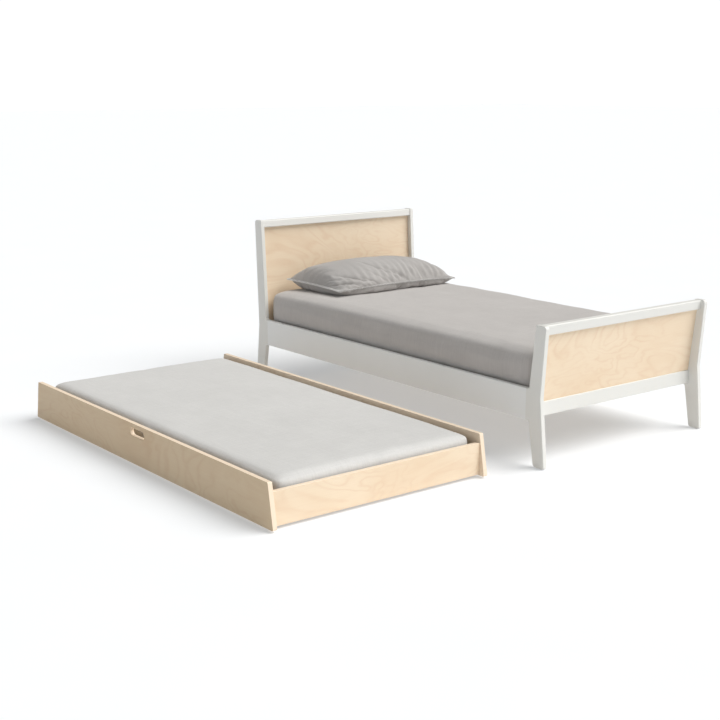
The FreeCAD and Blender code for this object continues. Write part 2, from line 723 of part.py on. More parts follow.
def bearer(end):
    inside = f"({PANEL_INSIDE} - trundle_ledger_deep)"
    return block(f"caster_bearer_{end}", ("bearer_wide", f"2 * {inside}", "bearer_thick"),
                 (f"{ENDS[end]} * caster_x", TRUNDLE_Y), FORK_TOP, "lath_edge", rounded="y")


def trundle_mattress():
    low = "(deck_low + deck_thick + rest_gap)"
    return cushion("trundle_mattress",
                   ("trundle_mattress_long", "trundle_mattress_wide", f"trundle_mattress_top - {low}"),
                   ("0", f"{TRUNDLE_Y} + trundle_mattress_shift"), low,
                   "trundle_mattress_corner", "trundle_mattress_edge")


def trundle_dowels():
    """Two in each corner, blind, from the end panels into the side panels."""
    spots = []
    for way in ENDS.values():
        for side in TRUNDLE_SIDES.values():
            for rise in ("trundle_dowel_low", "trundle_dowel_high"):
                spots.append((f"{way} * (end_span - trundle_board) / 2",
                              f"{TRUNDLE_Y} + {side} * ({PANEL_INSIDE} + dowel_grip)",
                              f"end_low + {rise}", "-y" if side > 0 else "+y"))
    return dowels("trundle_dowels", spots)


def deck_screws():
    """Down through the deck into the ledgers and the caster bearers."""
    spots = []
    top = "(deck_low + deck_thick - screw_head_tall)"
    for way in ENDS.values():
        for side in (-1, 1):
            y = f"{TRUNDLE_Y} + {side} * ({PANEL_INSIDE} - trundle_ledger_deep / 2)"
            for share in (0, 1 / 3, 2 / 3, 1):
                x = f"(deck_hole_first + (deck_hole_last - deck_hole_first) * {share})"
                spots.append((f"{way} * {x}", y, top, "-z"))
            spots.append((f"{way} * (caster_x + bearer_hole_out)",
                          f"{TRUNDLE_Y} + {side} * bearer_hole_side", top, "-z"))
    return screws("deck_screws", "deck_screw", spots)


def trundle_ledger_screws():
    """Along each deck ledger, through it into the side panel."""
    spots = []
    for side in (-1, 1):
        for share in row_shares():
            spots.append((f"(end_span - 2 * trundle_board) * {share}",
                          f"{TRUNDLE_Y} + {side} * ({PANEL_INSIDE} - trundle_ledger_deep)",
                          "deck_low - trundle_hole_drop", "+y" if side > 0 else "-y"))
    return screws("trundle_ledger_screws", "trundle_ledger_screw", spots)


# ---------------------------------------------------------------- casters

def caster_places():
    """Name and X, Y formulas of the four casters."""
    return [(f"{side}_{end}", f"{ENDS[end]} * caster_x", f"({TRUNDLE_Y} + {TRUNDLE_SIDES[side]} * caster_y)")
            for side in TRUNDLE_SIDES for end in ENDS]


def caster_fork(name, x, y):
    """A plate with two ears that hold the axle, made as one bent piece."""
    body = new_body(f"caster_fork_{name}")
    top = FORK_TOP
    under = f"({FORK_TOP} - fork_thick)"
    plate = rectangle("-fork_plate_wide / 2", "fork_plate_wide / 2", under, top)
    pad(body, outline(body, "XZ_Plane", plate), "fork_plate_long")
    for hand in (-1, 1):
        ear = new_sketch(body, "YZ_Plane")
        reach = dim("fork_ear")
        drop = dim("wheel_radius")
        shoulder = dim("deck_low") - dim("bearer_thick")
        ear.addGeometry(Part.LineSegment(V(reach, drop, 0), V(reach, shoulder, 0)))
        ear.addGeometry(Part.LineSegment(V(reach, shoulder, 0), V(-reach, shoulder, 0)))
        ear.addGeometry(Part.LineSegment(V(-reach, shoulder, 0), V(-reach, drop, 0)))
        circle = Part.Circle(V(0, drop, 0), V(0, 0, 1), reach)
        ear.addGeometry(Part.ArcOfCircle(circle, math.pi, math.tau))
        ear.addGeometry(Part.Circle(V(0, drop, 0), V(0, 0, 1), dim("axle_radius")))
        for curve, following in ((0, 1), (1, 2)):
            ear.addConstraint(Sketcher.Constraint("Coincident", curve, 2, following, 1))
        ear.addConstraint(Sketcher.Constraint("Tangent", 2, 2, 3, 1))
        ear.addConstraint(Sketcher.Constraint("Tangent", 3, 2, 0, 1))
        ear.addConstraint(Sketcher.Constraint("Vertical", 0))
        ear.addConstraint(Sketcher.Constraint("Coincident", 4, 3, 3, 3))
        pin_down(ear, 3, 3, "0", "wheel_radius")
        pin_down(ear, 1, 1, "fork_ear", under)
        pin_down(ear, 1, 2, "-fork_ear", under)
        number = ear.addConstraint(Sketcher.Constraint("Radius", 4, dim("axle_radius")))
        bind(ear, f"Constraints[{number}]", "axle_radius")
        ear.AttachmentOffset = FreeCAD.Placement(V(0, 0, hand * dim("fork_gap") / 2), FreeCAD.Rotation())
        bind(ear, "AttachmentOffset.Base.z", f"{hand} * fork_gap / 2")
        pad(body, ear, "fork_thick", symmetric=False, reverse=hand < 0)
    place(body, x, y)
    return body


def caster_screws():
    """One in each corner of every caster's plate, up into the bearer."""
    spots = []
    for name, x, y in caster_places():
        for across in (-1, 1):
            for roll in (-1, 1):
                spots.append((f"{x} + {across} * (fork_plate_wide / 2 - caster_hole_set)",
                              f"{y} + {roll} * (fork_plate_long / 2 - caster_hole_set)",
                              f"{FORK_TOP} - fork_thick", "+z"))
    return screws("caster_screws", "caster_screw", spots)


def caster_axles():
    group = DOC.addObject("Part::Compound", "caster_axles")
    group.Links = [pin(f"axle_{name}", "axle_radius", "axle_long",
                       (f"{x} - axle_long / 2", y, "wheel_radius"), "+x")
                   for name, x, y in caster_places()]
    group.Label = "caster_axles"
    return keep(group)


def caster_wheel(name, x, y):
    """A moulded wheel turned about X: tread, recessed web and hub."""
    body = new_body(f"caster_wheel_{name}")
    half = "wheel_wide / 2"
    hub = f"({half} + hub_proud)"
    rim = "(wheel_radius - wheel_rim)"
    web = "wheel_wide / 4"
    points = [(f"-{hub}", "bore_radius"), (hub, "bore_radius"), (hub, "hub_radius"),
              (web, "hub_radius"), (web, rim), (half, rim), (half, "wheel_radius - wheel_crown"),
              (f"{half} - wheel_crown", "wheel_radius"), (f"-({half} - wheel_crown)", "wheel_radius"),
              (f"-{half}", "wheel_radius - wheel_crown"), (f"-{half}", rim), (f"-{web}", rim),
              (f"-{web}", "hub_radius"), (f"-{hub}", "hub_radius")]
    sketch = outline(body, "XZ_Plane", points)
    DOC.recompute()
    turned_shape = body.newObject("PartDesign::Revolution", body.Name + "_revolution")
    turned_shape.Profile = sketch
    turned_shape.ReferenceAxis = (sketch, ["H_Axis"])
    turned_shape.Angle = 360
    place(body, x, y, "wheel_radius")
    return keep(body)


# ---------------------------------------------------------------- assembly

def build_bed():
    pins = frame_dowels()
    steel_set = steel_screws()
    ledger_set = ledger_screws()
    slat_set = slat_screws()
    for end in ENDS:
        for side in SIDES:
            drilled(post(end, side), pins)
        drilled(top_rail(end), pins)
        drilled(lower_rail(end), pins, steel_set)
        keep(end_panel(end))
    for side in SIDES:
        drilled(side_rail(side), pins, steel_set, ledger_set)
        drilled(ledger(side), ledger_set, slat_set)
    for number in range(1, SLATS + 1):
        drilled(slat(number), slat_set)
    keep(middle_beam())
    drilled(beam_hangers(), steel_set)
    drilled(corner_brackets(), steel_set)
    glides()
    bed_mattress()
    pillow()


def build_trundle():
    pins = trundle_dowels()
    deck_set = deck_screws()
    ledger_set = trundle_ledger_screws()
    caster_set = caster_screws()
    for side in TRUNDLE_SIDES:
        drilled(trundle_side(side), pins, ledger_set)
        drilled(trundle_ledger(side), ledger_set, deck_set)
    for end in ENDS:
        drilled(trundle_end(end), pins)
        drilled(deck_board(end), deck_set)
        drilled(bearer(end), deck_set, caster_set)
    for name, x, y in caster_places():
        drilled(caster_fork(name, x, y), caster_set)
        caster_wheel(name, x, y)
    caster_axles()
    trundle_mattress()


def write_parts():
    DOC.recompute()
    for item in DOC.Objects:
        if "Invalid" in item.State or "Error" in item.State:
            raise RuntimeError(f"{item.Label} did not build: {item.State}")
    for item in PARTS:
        if item.Shape.isNull() or not item.Shape.isValid():
            raise RuntimeError(f"{item.Label} has no valid shape")
    os.makedirs("parts", exist_ok=True)
    for item in PARTS:
        item.Shape.exportStep(f"parts/{item.Label}.step")


fill_sheet()
build_bed()
build_trundle()
write_parts()
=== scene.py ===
"""Looks of the twin bed and its trundle: paint, birch ply, sheets, pillow, light and camera."""
import math

import bmesh
import bpy
import numpy as np
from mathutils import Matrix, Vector, noise


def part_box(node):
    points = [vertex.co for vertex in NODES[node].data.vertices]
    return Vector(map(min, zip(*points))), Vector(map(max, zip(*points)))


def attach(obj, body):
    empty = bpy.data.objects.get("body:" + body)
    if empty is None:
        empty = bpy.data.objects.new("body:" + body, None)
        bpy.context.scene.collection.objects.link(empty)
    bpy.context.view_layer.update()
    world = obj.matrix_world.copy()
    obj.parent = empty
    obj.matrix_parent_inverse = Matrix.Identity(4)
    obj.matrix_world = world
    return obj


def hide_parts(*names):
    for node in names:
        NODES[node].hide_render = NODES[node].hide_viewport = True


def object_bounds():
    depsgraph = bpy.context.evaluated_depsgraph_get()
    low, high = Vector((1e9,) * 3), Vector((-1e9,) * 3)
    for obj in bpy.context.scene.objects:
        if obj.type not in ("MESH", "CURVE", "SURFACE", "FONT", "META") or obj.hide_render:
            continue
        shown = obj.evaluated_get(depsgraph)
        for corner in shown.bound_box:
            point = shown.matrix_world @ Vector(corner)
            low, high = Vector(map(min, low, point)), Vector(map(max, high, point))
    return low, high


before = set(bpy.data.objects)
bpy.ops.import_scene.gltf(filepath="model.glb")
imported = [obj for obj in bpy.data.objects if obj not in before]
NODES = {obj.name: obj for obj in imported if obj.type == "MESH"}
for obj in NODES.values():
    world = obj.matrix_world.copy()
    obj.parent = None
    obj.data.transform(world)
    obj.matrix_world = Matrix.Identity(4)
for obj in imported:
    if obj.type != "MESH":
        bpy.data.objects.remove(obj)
cad_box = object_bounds()

# ---------------------------------------------------------------- shader helpers

# places of the colour sockets on a Mix node
MIX_FACTOR, MIX_FIRST, MIX_SECOND = 0, 6, 7
MIX_RESULT = 2


def start_material(name):
    """A new, empty node material and its tree."""
    made = bpy.data.materials.new(name)
    made.use_nodes = True
    tree = made.node_tree
    tree.nodes.clear()
    return made, tree


def add(tree, kind, inputs=None, **settings):
    """A node with its settings, and its inputs linked to sockets or set to values."""
    made = tree.nodes.new(kind)
    for key, value in settings.items():
        setattr(made, key, value)
    for key, value in (inputs or {}).items():
        if isinstance(value, bpy.types.NodeSocket):
            tree.links.new(value, made.inputs[key])
        else:
            made.inputs[key].default_value = value
    return made


def place_coords(tree, scale, shift=(0, 0, 0)):
    """Object coordinates in metres, scaled and moved."""
    coords = add(tree, "ShaderNodeTexCoord")
    mapping = add(tree, "ShaderNodeMapping", {"Vector": coords.outputs["Object"], "Scale": scale,
                                              "Location": shift})
    return mapping.outputs["Vector"]


def noise_of(tree, vector, scale, detail=3.0, rough=0.5, distortion=0.0):
    made = add(tree, "ShaderNodeTexNoise", {"Vector": vector, "Scale": scale, "Detail": detail,
                                            "Roughness": rough, "Distortion": distortion})
    return made.outputs["Fac"]


def math_of(tree, operation, first, second=0.0, third=0.0):
    made = add(tree, "ShaderNodeMath", {0: first, 1: second, 2: third}, operation=operation)
    return made.outputs["Value"]


def spread(tree, value, low, high, to_low=0.0, to_high=1.0):
    """A value's range, clamped and mapped onto another."""
    made = add(tree, "ShaderNodeMapRange", {"Value": value, "From Min": low, "From Max": high,
                                            "To Min": to_low, "To Max": to_high})
    return made.outputs["Result"]


def ramp(tree, value, stops):
    """Colours along a value: stops are (place, (r, g, b))."""
    made = add(tree, "ShaderNodeValToRGB", {"Fac": value})
    band = made.color_ramp
    while len(band.elements) < len(stops):
        band.elements.new(0.5)
    for element, (spot, colour) in zip(band.elements, stops):
        element.position = spot
        element.color = (*colour, 1.0)
    return made.outputs["Color"]


def blend_colours(tree, factor, first, second):
    """A mix of two colours; each may be a socket or a plain (r, g, b)."""
    made = add(tree, "ShaderNodeMix", data_type="RGBA", blend_type="MIX")
    for number, value in ((MIX_FACTOR, factor), (MIX_FIRST, first), (MIX_SECOND, second)):
        if isinstance(value, bpy.types.NodeSocket):
            tree.links.new(value, made.inputs[number])
        elif number == MIX_FACTOR:
            made.inputs[number].default_value = value
        else:
            made.inputs[number].default_value = (*value, 1.0)
    return made.outputs[MIX_RESULT]


def bump(tree, height, distance, strength=1.0, under=None):
    """Relief from a height, up to a distance in metres, over another relief if there is one."""
    inputs = {"Height": height, "Distance": distance, "Strength": strength}
    if under is not None:
        inputs["Normal"] = under
    return add(tree, "ShaderNodeBump", inputs).outputs["Normal"]


def close_material(tree, colour, roughness, normal, **values):
    """The shader itself; values are constants for its sockets, by name with _ for spaces."""
    shader = add(tree, "ShaderNodeBsdfPrincipled", {"Base Color": colour, "Roughness": roughness,
                                                    "Normal": normal})
    for key, value in values.items():
        shader.inputs[key.replace("_", " ")].default_value = value
    output = add(tree, "ShaderNodeOutputMaterial")
    tree.links.new(shader.outputs["BSDF"], output.inputs["Surface"])


# ---------------------------------------------------------------- materials

# stretches a texture along the grain of a board that runs along an axis
GRAIN_SCALE = {"x": (0.07, 1.0, 1.0), "y": (1.0, 0.07, 1.0), "z": (1.0, 1.0, 0.07)}

PAINT = ((0.743, 0.736, 0.701), (0.770, 0.764, 0.733))
# painted light: the side rails' white made brighter and cooler, for the light their shaded side
# lacks
RAIL_PAINTED_LIGHT = (1.08, 1.10, 1.14)

# birch veneer: three tones of the sheet, its contour lines, darker fibre and flecks, and its edges
VENEER = ((0.30, (0.868, 0.722, 0.546)),
          (0.52, (0.846, 0.690, 0.510)),
          (0.74, (0.815, 0.640, 0.455)))
CONTOUR = (0.735, 0.500, 0.330)
RING_SHADE = (0.745, 0.550, 0.380)
FIBRE_SHADE = (0.770, 0.590, 0.415)
FLECK = (0.55, 0.38, 0.25)
EDGE_LIGHT = (0.880, 0.735, 0.575)
EDGE_DARK = (0.800, 0.625, 0.455)

BED_SHEET = ((0.520, 0.494, 0.477), (0.556, 0.530, 0.513))
TRUNDLE_SHEET = ((0.630, 0.622, 0.608), (0.672, 0.664, 0.650))
PILLOW_CASE = ((0.398, 0.380, 0.367), (0.427, 0.408, 0.396))
PILLOW_THREAD = (0.88, 0.87, 0.855)
BARE_BIRCH = ((0.80, 0.66, 0.48), (0.72, 0.56, 0.38), (0.62, 0.45, 0.29))
BEECH = ((0.70, 0.50, 0.32), (0.60, 0.41, 0.25), (0.48, 0.31, 0.18))


def tinted(colour, factors):
    """A colour with each channel scaled; factors is one number or three."""
    if isinstance(factors, float):
        factors = (factors,) * 3
    return tuple(c * k for c, k in zip(colour, factors))


def white_paint(grain, painted_light_lift=(1.0, 1.0, 1.0)):
    """Satin paint on solid wood: roller texture, and the wood's grain just showing through.

    The last argument is painted light: it scales the paint's colour, making the side rails brighter
    and cooler where their shaded side lacks light.
    """
    made, tree = start_material("white_paint_" + grain)
    plain = place_coords(tree, (1, 1, 1))
    stretched = place_coords(tree, GRAIN_SCALE[grain])
    cloud = noise_of(tree, plain, 3.0, 4.0, 0.55)
    colour = ramp(tree, cloud, [(0.25, tinted(PAINT[0], painted_light_lift)), (0.75, tinted(PAINT[1], painted_light_lift))])
    grain_lines = noise_of(tree, stretched, 170.0, 5.0, 0.6)
    roller = noise_of(tree, plain, 900.0, 2.0, 0.5)
    rough = spread(tree, noise_of(tree, plain, 22.0, 4.0, 0.6), 0.3, 0.7, 0.40, 0.52)
    normal = bump(tree, grain_lines, 0.00035, 0.5)
    normal = bump(tree, roller, 0.00012, 0.5, normal)
    close_material(tree, colour, rough, normal, IOR=1.47, Coat_Weight=0.05, Coat_Roughness=0.35)
    return made


def birch_ply(name, along, across, seed, tone_and_shade=1.0):
    """Rotary-cut birch veneer on a panel whose grain runs along one axis and width across another.

    seed picks the place in the figure, and the last argument scales the veneer's colour; on the
    trundle's front panel that scale is painted shade.
    """
    made, tree = start_material(name)
    through = next(axis for axis in "xyz" if axis not in (along, across))
    squeeze = {along: 1.0, across: 2.1}
    scale = tuple(squeeze.get(axis, 0.25) for axis in "xyz")
    fine = tuple(1.0 if axis == along else 30.0 for axis in "xyz")
    field = place_coords(tree, scale, shift=(seed, seed * 0.7, seed * 0.4))
    fibre_space = place_coords(tree, fine, shift=(seed, 0, 0))
    # a shallow cut through the growth rings draws the contour lines of a slow height field
    height = noise_of(tree, field, 1.30, 3.4, 0.50, 1.1)
    rings = math_of(tree, "PINGPONG", math_of(tree, "MULTIPLY", height, 15.0), 0.5)
    line = spread(tree, rings, 0.0, 0.24, 1.0, 0.0)
    broken = spread(tree, noise_of(tree, field, 3.3, 3.0, 0.5, 0.8), 0.38, 0.62, 0.15, 1.0)
    figure = math_of(tree, "MULTIPLY", line, broken)
    patches = noise_of(tree, field, 2.4, 3.0, 0.55, 0.4)
    fibre = noise_of(tree, fibre_space, 9.0, 5.0, 0.62)
    fleck = spread(tree, noise_of(tree, fibre_space, 26.0, 2.0, 0.5), 0.66, 0.74, 0.0, 1.0)
    base = ramp(tree, patches, [(spot, tinted(colour, tone_and_shade)) for spot, colour in VENEER])
    colour = blend_colours(tree, math_of(tree, "MULTIPLY", figure, 0.36), base,
                           tinted(CONTOUR, tone_and_shade))
    colour = blend_colours(tree, spread(tree, rings, 0.0, 0.5, 0.12, 0.0), colour,
                           tinted(RING_SHADE, tone_and_shade))
    colour = blend_colours(tree, spread(tree, fibre, 0.35, 0.70, 0.0, 0.20), colour,
                           tinted(FIBRE_SHADE, tone_and_shade))
    colour = blend_colours(tree, math_of(tree, "MULTIPLY", fleck, 0.16), colour, FLECK)
    # the sheet's edges, where the surface doesn't face through the panel, stay plain and light
    coords = add(tree, "ShaderNodeTexCoord")
    facing = add(tree, "ShaderNodeSeparateXYZ", {"Vector": coords.outputs["Normal"]})
    flatness = math_of(tree, "ABSOLUTE", facing.outputs["xyz".index(through)])
    lipping = blend_colours(tree, spread(tree, fibre, 0.35, 0.75, 0.0, 0.35), EDGE_LIGHT, EDGE_DARK)
    colour = blend_colours(tree, spread(tree, flatness, 0.60, 0.80, 0.0, 1.0), lipping, colour)
    rough = spread(tree, fibre, 0.3, 0.7, 0.46, 0.60)
    normal = bump(tree, fibre, 0.00020, 0.35)
    close_material(tree, colour, rough, normal, IOR=1.45, Coat_Weight=0.06, Coat_Roughness=0.4)
    return made


def bare_wood(name, grain, colours):
    """Planed wood with straight grain, unfinished."""
    made, tree = start_material(name)
    stretched = place_coords(tree, GRAIN_SCALE[grain])
    streaks = noise_of(tree, stretched, 42.0, 4.0, 0.6, 0.4)
    fibre = noise_of(tree, stretched, 420.0, 3.0, 0.6)
    colour = ramp(tree, streaks, [(0.32, colours[0]), (0.70, colours[1])])
    colour = blend_colours(tree, spread(tree, fibre, 0.4, 0.75, 0.0, 0.35), colour, colours[2])
    rough = spread(tree, fibre, 0.3, 0.7, 0.58, 0.74)
    close_material(tree, colour, rough, bump(tree, fibre, 0.0004, 0.5), IOR=1.45)
    return made


def woven_cloth(name, colours, thread=0.0011, slub=1.0):
    """Plain-weave cotton: crossing threads, slubs along both, and a faint unevenness of the dye."""
    made, tree = start_material(name)
    dark, light = colours
    coords = place_coords(tree, (1, 1, 1))
    parts = add(tree, "ShaderNodeSeparateXYZ", {"Vector": coords})
    rate = math.tau / thread
    wander = noise_of(tree, coords, 60.0, 2.0, 0.5)
    crossings = []
    for axis in "XYZ":
        bent = math_of(tree, "MULTIPLY_ADD", wander, thread * 1.5, parts.outputs[axis])
        crossings.append(math_of(tree, "SINE", math_of(tree, "MULTIPLY", bent, rate)))
    weave = math_of(tree, "ADD", math_of(tree, "ADD", crossings[0], crossings[1]), crossings[2])
    weave = spread(tree, weave, -2.0, 2.0)
    streaks = None
    for stretch in ((1.0, 0.03, 0.03), (0.03, 1.0, 0.03), (1.0, 1.0, 0.04)):
        run = noise_of(tree, place_coords(tree, stretch), 190.0, 4.0, 0.62)
        streaks = run if streaks is None else math_of(tree, "ADD", streaks, run)
    slubs = spread(tree, streaks, 1.20, 1.80)
    cloud = noise_of(tree, coords, 5.0, 3.0, 0.5)
    colour = ramp(tree, cloud, [(0.30, dark), (0.72, light)])
    colour = blend_colours(tree, spread(tree, slubs, 0.0, 1.0, 0.0, 0.42 * slub), colour,
                           tinted(dark, 0.80))
    colour = blend_colours(tree, spread(tree, weave, 0.0, 0.5, 0.14, 0.0), colour,
                           tinted(dark, 0.72))
    normal = bump(tree, noise_of(tree, coords, 45.0, 3.0, 0.5), 0.0008, 0.35)
    normal = bump(tree, slubs, 0.00035 * slub, 0.5, normal)
    normal = bump(tree, weave, 0.00022, 0.6, normal)
    rough = spread(tree, slubs, 0.0, 1.0, 0.88, 0.97)
    close_material(tree, colour, rough, normal, Sheen_Weight=0.22, Sheen_Roughness=0.45, IOR=1.4,
                   Specular_IOR_Level=0.25)
    return made


def thread_cotton(name, colour):
    """Twisted cotton sewing thread."""
    made, tree = start_material(name)
    coords = place_coords(tree, (1, 1, 1))
    twist = noise_of(tree, coords, 900.0, 3.0, 0.6)
    shade = ramp(tree, twist, [(0.3, tinted(colour, 0.85)), (0.7, colour)])
    close_material(tree, shade, 0.85, bump(tree, twist, 0.0003, 0.6), Sheen_Weight=0.2)
    return made


def zinc_steel():
    """Zinc plate with a faint spangle."""
    made, tree = start_material("zinc_steel")
    coords = place_coords(tree, (1, 1, 1))
    spangle = noise_of(tree, coords, 140.0, 3.0, 0.55, 0.4)
    colour = ramp(tree, spangle, [(0.3, (0.56, 0.57, 0.59)), (0.7, (0.68, 0.69, 0.70))])
    rough = spread(tree, spangle, 0.3, 0.7, 0.30, 0.48)
    normal = bump(tree, noise_of(tree, coords, 800.0), 0.00006, 0.5)
    close_material(tree, colour, rough, normal, Metallic=1.0)
    return made


def moulded(name, dark, light, rough_low, rough_high):
    """Matt moulded plastic with a fine spark-eroded texture."""
    made, tree = start_material(name)
    coords = place_coords(tree, (1, 1, 1))
    grain = noise_of(tree, coords, 1400.0, 2.0, 0.5)
    cloud = noise_of(tree, coords, 60.0, 3.0, 0.5)
    colour = ramp(tree, cloud, [(0.3, dark), (0.7, light)])
    rough = spread(tree, grain, 0.3, 0.7, rough_low, rough_high)
    close_material(tree, colour, rough, bump(tree, grain, 0.00008, 0.5), IOR=1.5)
    return made


def pale_floor():
    """Seamless studio floor, lit a little from below so that shadows stay light."""
    made, tree = start_material("studio_floor")
    coords = place_coords(tree, (1, 1, 1))
    cloud = noise_of(tree, coords, 2.0, 2.0, 0.5)
    colour = ramp(tree, cloud, [(0.3, (0.611, 0.612, 0.620)), (0.7, (0.621, 0.622, 0.630))])
    rough = spread(tree, cloud, 0.3, 0.7, 0.80, 0.90)
    close_material(tree, colour, rough, bump(tree, cloud, 0.0001, 0.1), Specular_IOR_Level=0.1,
                   Emission_Color=(0.92, 0.965, 1, 1), Emission_Strength=0.34)
    return made


def dress(node, *materials):
    """Give a CAD node its materials; the mesh itself stays as it is."""
    slots = NODES[node].data.materials
    slots.clear()
    for item in materials:
        slots.append(item)


STEEL_PIECES = ("corner_brackets", "beam_hangers", "caster_axles")

# panel: material, grain along, width across, place in the figure, veneer tone and painted shade
PLY_PANELS = {
    "head_panel": ("headboard_ply", "y", "z", 3.7, 0.96),
    "foot_panel": ("footboard_ply", "y", "z", 0.0),
    # painted shade: the front panel's veneer darker and more saturated, for its side facing away
    # from the light
    "trundle_front_panel": ("trundle_front_ply", "x", "z", 5.3, (0.755, 0.715, 0.635)),
    "trundle_back_panel": ("trundle_back_ply", "x", "z", 6.9, (0.93, 0.95, 0.99)),
    "trundle_head_panel": ("trundle_head_ply", "y", "z", 7.7),
    "trundle_foot_panel": ("trundle_foot_ply", "y", "z", 2.2),
}


def dress_cad():
    """Every CAD node that stays on show gets the finish of what it is made of."""
    # the side rails' paint carries painted light, brighter and cooler than the rest
    paint = {"x": white_paint("x", RAIL_PAINTED_LIGHT), "y": white_paint("y"), "z": white_paint("z")}
    birch = {axis: bare_wood("bare_birch_" + axis, axis, BARE_BIRCH) for axis in "xy"}
    beech = bare_wood("dowel_beech", "y", BEECH)
    steel = zinc_steel()
    nylon = moulded("wheel_nylon", (0.055, 0.055, 0.06), (0.075, 0.075, 0.08), 0.42, 0.58)
    pad = moulded("glide_plastic", (0.70, 0.70, 0.68), (0.78, 0.78, 0.76), 0.5, 0.65)
    ply_sheet = birch_ply("deck_ply", "x", "y", 9.1)
    for name in NODES:
        if "_post_" in name:
            dress(name, paint["z"])
        elif name.startswith("side_rail"):
            dress(name, paint["x"])
        elif name.endswith(("top_rail", "lower_rail")):
            dress(name, paint["y"])
        elif name.endswith("_dowels"):
            dress(name, beech)
        elif name.endswith("_screws") or name.startswith("caster_fork") or name in STEEL_PIECES:
            dress(name, steel)
        elif name.startswith("caster_wheel"):
            dress(name, nylon)
        elif name == "foot_glides":
            dress(name, pad)
        elif name.startswith("trundle_deck"):
            dress(name, ply_sheet)
        elif name.startswith(("slat_ledger", "trundle_ledger")) or name == "middle_beam":
            dress(name, birch["x"])
        elif name.startswith(("slat_", "caster_bearer")):
            dress(name, birch["y"])
    for panel, finish in PLY_PANELS.items():
        dress(panel, birch_ply(*finish))


# ---------------------------------------------------------------- mesh helpers


def put(name, data):
    """A new object in the scene."""
    made = bpy.data.objects.new(name, data)
    bpy.context.scene.collection.objects.link(made)
    return made


def copy_of_node(node, name):
    """A free copy of a CAD node's mesh, to be shaped into the soft piece that stands for it."""
    mesh = NODES[node].data.copy()
    mesh.materials.clear()
    return put(name, mesh)


def points_of(item):
    co = np.empty(len(item.data.vertices) * 3)
    item.data.vertices.foreach_get("co", co)
    return co.reshape(-1, 3)


def set_points(item, points):
    item.data.vertices.foreach_set("co", points.astype(np.float32).ravel())
    item.data.update()


def bake(item):
    """Apply every modifier of an item to its mesh."""
    graph = bpy.context.evaluated_depsgraph_get()
    mesh = bpy.data.meshes.new_from_object(item.evaluated_get(graph))
    item.modifiers.clear()
    item.data = mesh


def remesh(item, voxel):
    change = item.modifiers.new("even_mesh", "REMESH")
    change.mode = "VOXEL"
    change.voxel_size = voxel
    change.use_smooth_shade = True
    bake(item)


def smooth(item, rounds, factor=0.5):
    change = item.modifiers.new("soften", "SMOOTH")
    change.iterations = rounds
    change.factor = factor
    bake(item)


def subdivide(item, levels=1):
    change = item.modifiers.new("finer", "SUBSURF")
    change.levels = levels
    change.render_levels = levels
    bake(item)


def shade_smooth(item):
    item.data.polygons.foreach_set("use_smooth", [True] * len(item.data.polygons))


def run_cloth(item, change, frames):
    """Play a cloth modifier over some frames, and keep the result as the item's mesh."""
    scene = bpy.context.scene
    change.point_cache.frame_start = 1
    change.point_cache.frame_end = frames
    for step in range(1, frames + 1):
        scene.frame_set(step)
    bake(item)
    scene.frame_set(1)


PLUMP_FRAMES = 14
PLUMP_LIMIT = 0.005


def plump(item):
    """Swell a closed mesh a little, as a cover does over springs or foam, up to a limit."""
    before = points_of(item)
    change = item.modifiers.new("cloth", "CLOTH")
    cloth = change.settings
    cloth.quality = 6
    cloth.mass = 0.3
    cloth.tension_stiffness = 25
    cloth.compression_stiffness = 20
    cloth.shear_stiffness = 12
    cloth.bending_stiffness = 6.0
    cloth.tension_damping = 12
    cloth.compression_damping = 12
    cloth.shear_damping = 12
    cloth.air_damping = 3
    cloth.use_pressure = True
    cloth.uniform_pressure_force = 1.6
    cloth.effector_weights.gravity = 0.0
    change.collision_settings.use_collision = False
    change.collision_settings.use_self_collision = False
    run_cloth(item, change, PLUMP_FRAMES)
    move = points_of(item) - before
    length = np.linalg.norm(move, axis=1, keepdims=True)
    move *= np.minimum(1.0, PLUMP_LIMIT / np.maximum(length, 1e-9))
    set_points(item, before + move)


def wrinkle_field(point, stretch, seed):
    """Gentle folds of a stretched sheet at a point, from -1 to 1."""
    x, y, z = (p * k for p, k in zip(point, stretch))
    spot = Vector((x + seed, y - seed, z))
    return noise.fractal(spot, 0.9, 2.1, 3)


# ---------------------------------------------------------------- mattresses

# metres
COVER_CELL = 0.014
COVER_REACH = 0.003
SAG_REACH = 0.10
TUCK_REACH = 0.06
CORNER_DROP = 0.003

# the share of a mattress's height at which its rim turns into its top
RIM = 0.82

# folds of the sheet: how closely they lie along, across and up the bed
BROAD_FOLDS = (2.2, 3.4, 3.0)
FINE_FOLDS = (6.0, 9.0, 2.4)


